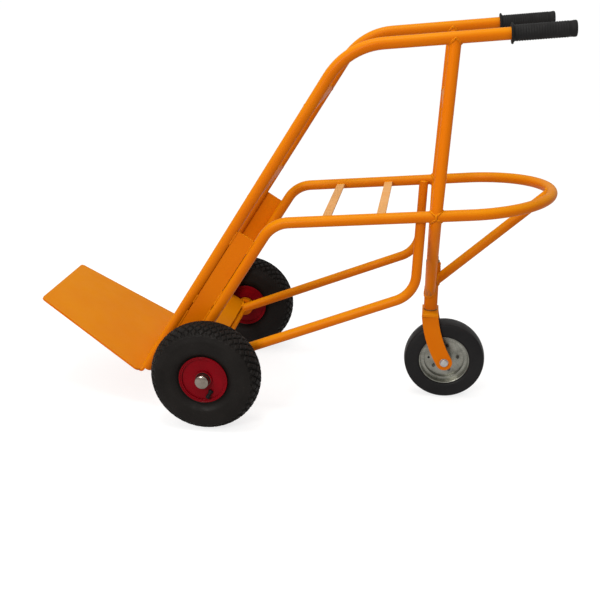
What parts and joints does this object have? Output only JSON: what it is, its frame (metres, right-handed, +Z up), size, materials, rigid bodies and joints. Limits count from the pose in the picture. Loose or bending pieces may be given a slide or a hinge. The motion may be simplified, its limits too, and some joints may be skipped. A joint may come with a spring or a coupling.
{
  "type": "hand truck",
  "caption": "Tubular hand truck with a leaning ladder frame, toe plate, rear deck ending in a rounded hoop, pneumatic wheels and a swivel caster under the deck.",
  "frame": {"origin": "on the floor under the middle of the bounding box", "axes": "+X to the rear, where the handles are, +Y to the truck's right, +Z up"},
  "size_m": [1.2282, 0.6, 0.9265],
  "materials": {
    "orange_paint": "powder coat, soft gloss",
    "crimson_paint": "gloss enamel",
    "tyre_rubber": "moulded rubber with a block tread",
    "caster_rubber": "smooth solid rubber, slight sheen",
    "grip_rubber": "ribbed, matt",
    "tube_rubber": "plain, matt",
    "bronze": "plain sintered",
    "zinc_steel": "zinc plated",
    "plain_steel": "turned, lightly oiled",
    "bright_steel": "bright plated"
  },
  "bodies": {
    "frame": {"rail_left": "orange_paint", "rail_right": "orange_paint", "grip_left": "grip_rubber", "grip_right": "grip_rubber", "cross_bar_lower": "orange_paint", "cross_bar_middle": "orange_paint", "cross_bar_upper": "orange_paint", "leg_cross_bar": "orange_paint", "side_plate_left": "orange_paint", "side_plate_right": "orange_paint", "deck_rail_left": "orange_paint", "deck_rail_right": "orange_paint", "rear_hoop": "orange_paint", "slat_front": "orange_paint", "slat_rear": "orange_paint", "lower_stay_left": "orange_paint", "lower_stay_right": "orange_paint", "leg_left": "orange_paint", "leg_right": "orange_paint", "head_tube": "orange_paint", "head_bush_upper": "bronze", "head_bush_lower": "bronze", "brace_tube": "orange_paint", "toe_plate": "orange_paint", "axle_beam": "orange_paint", "axle_shaft": "orange_paint", "axle_collar_left": "orange_paint", "axle_collar_right": "orange_paint", "axle_washers": "plain_steel", "axle_cap_left": "bright_steel", "axle_cap_right": "bright_steel"},
    "wheel_left": {"tyre_left": "tyre_rubber", "inner_tube_left": "tube_rubber", "rim_outer_left": "crimson_paint", "rim_inner_left": "crimson_paint", "hub_left": "crimson_paint", "bearings_left": "plain_steel", "valve_left": "tube_rubber"},
    "wheel_right": {"tyre_right": "tyre_rubber", "inner_tube_right": "tube_rubber", "rim_outer_right": "crimson_paint", "rim_inner_right": "crimson_paint", "hub_right": "crimson_paint", "bearings_right": "plain_steel", "valve_right": "tube_rubber"},
    "caster_fork": {"fork": "orange_paint", "fork_stem": "plain_steel", "stem_washer": "plain_steel", "stem_nut": "plain_steel", "caster_bolt": "bright_steel", "caster_nut": "bright_steel", "caster_spacers": "plain_steel"},
    "caster_wheel": {"caster_tyre": "caster_rubber", "caster_rim": "zinc_steel", "caster_hub": "zinc_steel", "caster_bearings": "plain_steel", "caster_rivets": "zinc_steel"}
  },
  "joints": [
    {"name": "wheel_left_spin", "type": "hinge", "parent": "frame", "child": "wheel_left", "pos_m": [-0.17397, -0.25, 0.13], "axis": [0, 1, 0], "continuous": true},
    {"name": "wheel_right_spin", "type": "hinge", "parent": "frame", "child": "wheel_right", "pos_m": [-0.17397, 0.25, 0.13], "axis": [0, 1, 0], "continuous": true},
    {"name": "caster_swivel", "type": "hinge", "parent": "frame", "child": "caster_fork", "pos_m": [0.33803, 0, 0.228], "axis": [0, 0, 1], "continuous": true},
    {"name": "caster_spin", "type": "hinge", "parent": "caster_fork", "child": "caster_wheel", "pos_m": [0.37803, 0, 0.1], "axis": [0, 1, 0], "continuous": true}
  ]
}
